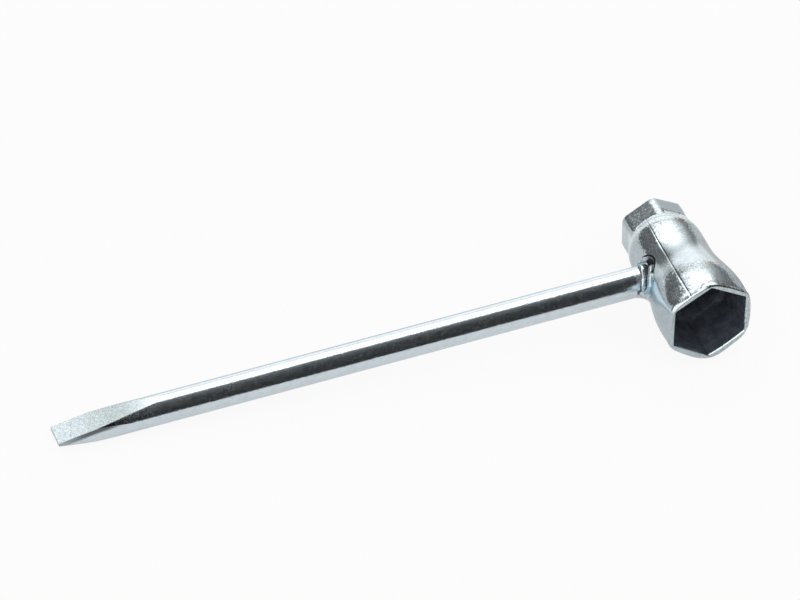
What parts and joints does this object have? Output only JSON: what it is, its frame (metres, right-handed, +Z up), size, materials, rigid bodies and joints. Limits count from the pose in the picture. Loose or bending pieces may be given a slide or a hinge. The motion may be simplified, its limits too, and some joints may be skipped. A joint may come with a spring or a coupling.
{
  "type": "spark plug wrench",
  "caption": "Tubular T wrench: a swaged tube with a plug socket and a smaller nut socket at its ends, and a screwdriver rod welded to its waist as the handle.",
  "frame": {"origin": "centre of the plug socket's mouth", "axes": "+Y along the tube from the plug socket to the nut socket, -X along the rod to the blade's tip, +Z up when the wrench lies on its side"},
  "size_m": [0.1827, 0.0411, 0.0246],
  "materials": {
    "zinc_plate": "bright zinc plate with a fine grain",
    "plated_weld": "zinc plate over a lumpy weld"
  },
  "bodies": {
    "root": {"socket_tube": "zinc_plate", "handle_rod": "zinc_plate", "weld_root_bead": "plated_weld", "weld_cap_bead": "plated_weld"}
  },
  "joints": []
}
